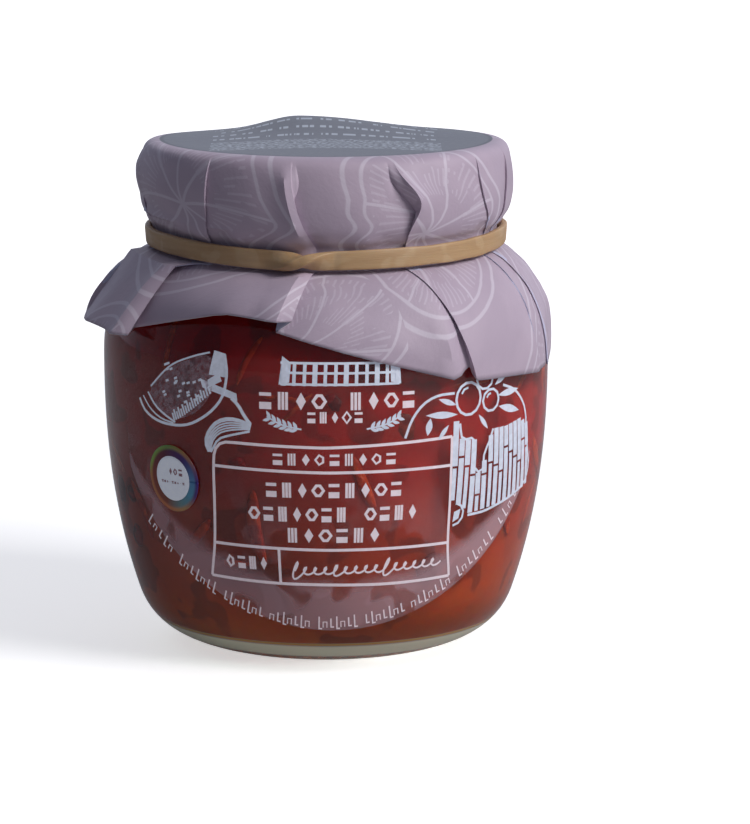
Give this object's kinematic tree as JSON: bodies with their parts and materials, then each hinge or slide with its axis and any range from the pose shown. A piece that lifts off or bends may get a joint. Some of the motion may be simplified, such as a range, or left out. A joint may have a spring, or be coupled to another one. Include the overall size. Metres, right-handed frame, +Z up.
{
  "type": "jar of marmalade with paper cover",
  "caption": "Small pot-bellied glass jar of dark marmalade with a pleated paper cover over its lid, held by a rubber band, and a clear printed label.",
  "frame": {"origin": "centre of the flat base, on the surface that the jar stands on", "axes": "+Z up along the jar's axis; -Y is the front, the side of the label and its frame; +X is to the right as the label is read"},
  "size_m": [0.0629, 0.061, 0.0659],
  "materials": {
    "clear_glass": "clear, smooth, slightly green in the thick base",
    "marmalade": null,
    "lid_metal": "lacquered tinplate",
    "printed_paper": null,
    "rubber": "natural tan rubber",
    "label_film": "clear film with pale print",
    "sticker": "white gloss paper with a foil ring"
  },
  "bodies": {
    "root": {"glass_jar": "clear_glass", "marmalade": "marmalade", "lid": "lid_metal", "paper_cover": "printed_paper", "rubber_band": "rubber", "clear_label": "label_film", "round_sticker": "sticker"}
  },
  "joints": []
}
